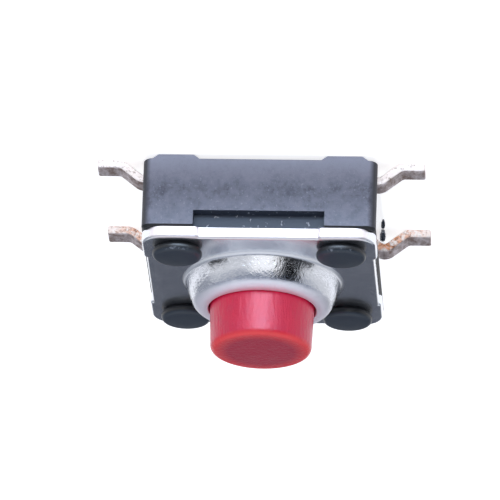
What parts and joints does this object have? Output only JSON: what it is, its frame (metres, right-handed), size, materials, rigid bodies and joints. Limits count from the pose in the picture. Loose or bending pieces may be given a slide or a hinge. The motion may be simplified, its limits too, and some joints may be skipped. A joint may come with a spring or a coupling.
{
  "type": "tactile push button switch",
  "caption": "Sealed surface-mount tactile push button switch with a drawn steel cover, gull-wing feet and a short tapered button.",
  "frame": {"origin": "centre of the switch in plan, on the board under its feet", "axes": "+Z from the board to the button's face, +X from one row of feet to the other, +Y along a row of feet towards the ring contact's strip"},
  "size_m": [0.0084, 0.006, 0.0043],
  "materials": {
    "moulded_base": "moulded, matt dark grey",
    "stainless_cover": "bright rolled stainless sheet",
    "red_button": "moulded, satin red",
    "silicone_seal": "soft silicone",
    "spring_steel": "rolled spring steel",
    "plated_terminal": "silver plated, sheared edges"
  },
  "bodies": {
    "switch_body": {"housing": "moulded_base", "cover": "stainless_cover", "seal": "silicone_seal", "contact_dome": "spring_steel", "terminal_front": "plated_terminal", "terminal_rear": "plated_terminal"},
    "button": {"plunger": "red_button"}
  },
  "joints": [
    {"name": "button_press", "type": "slide", "parent": "switch_body", "child": "button", "axis": [0, 0, -1], "range_m": [0, 0.00025], "stiffness_N_per_m": 8000, "deforming": ["contact_dome", "seal"]}
  ]
}
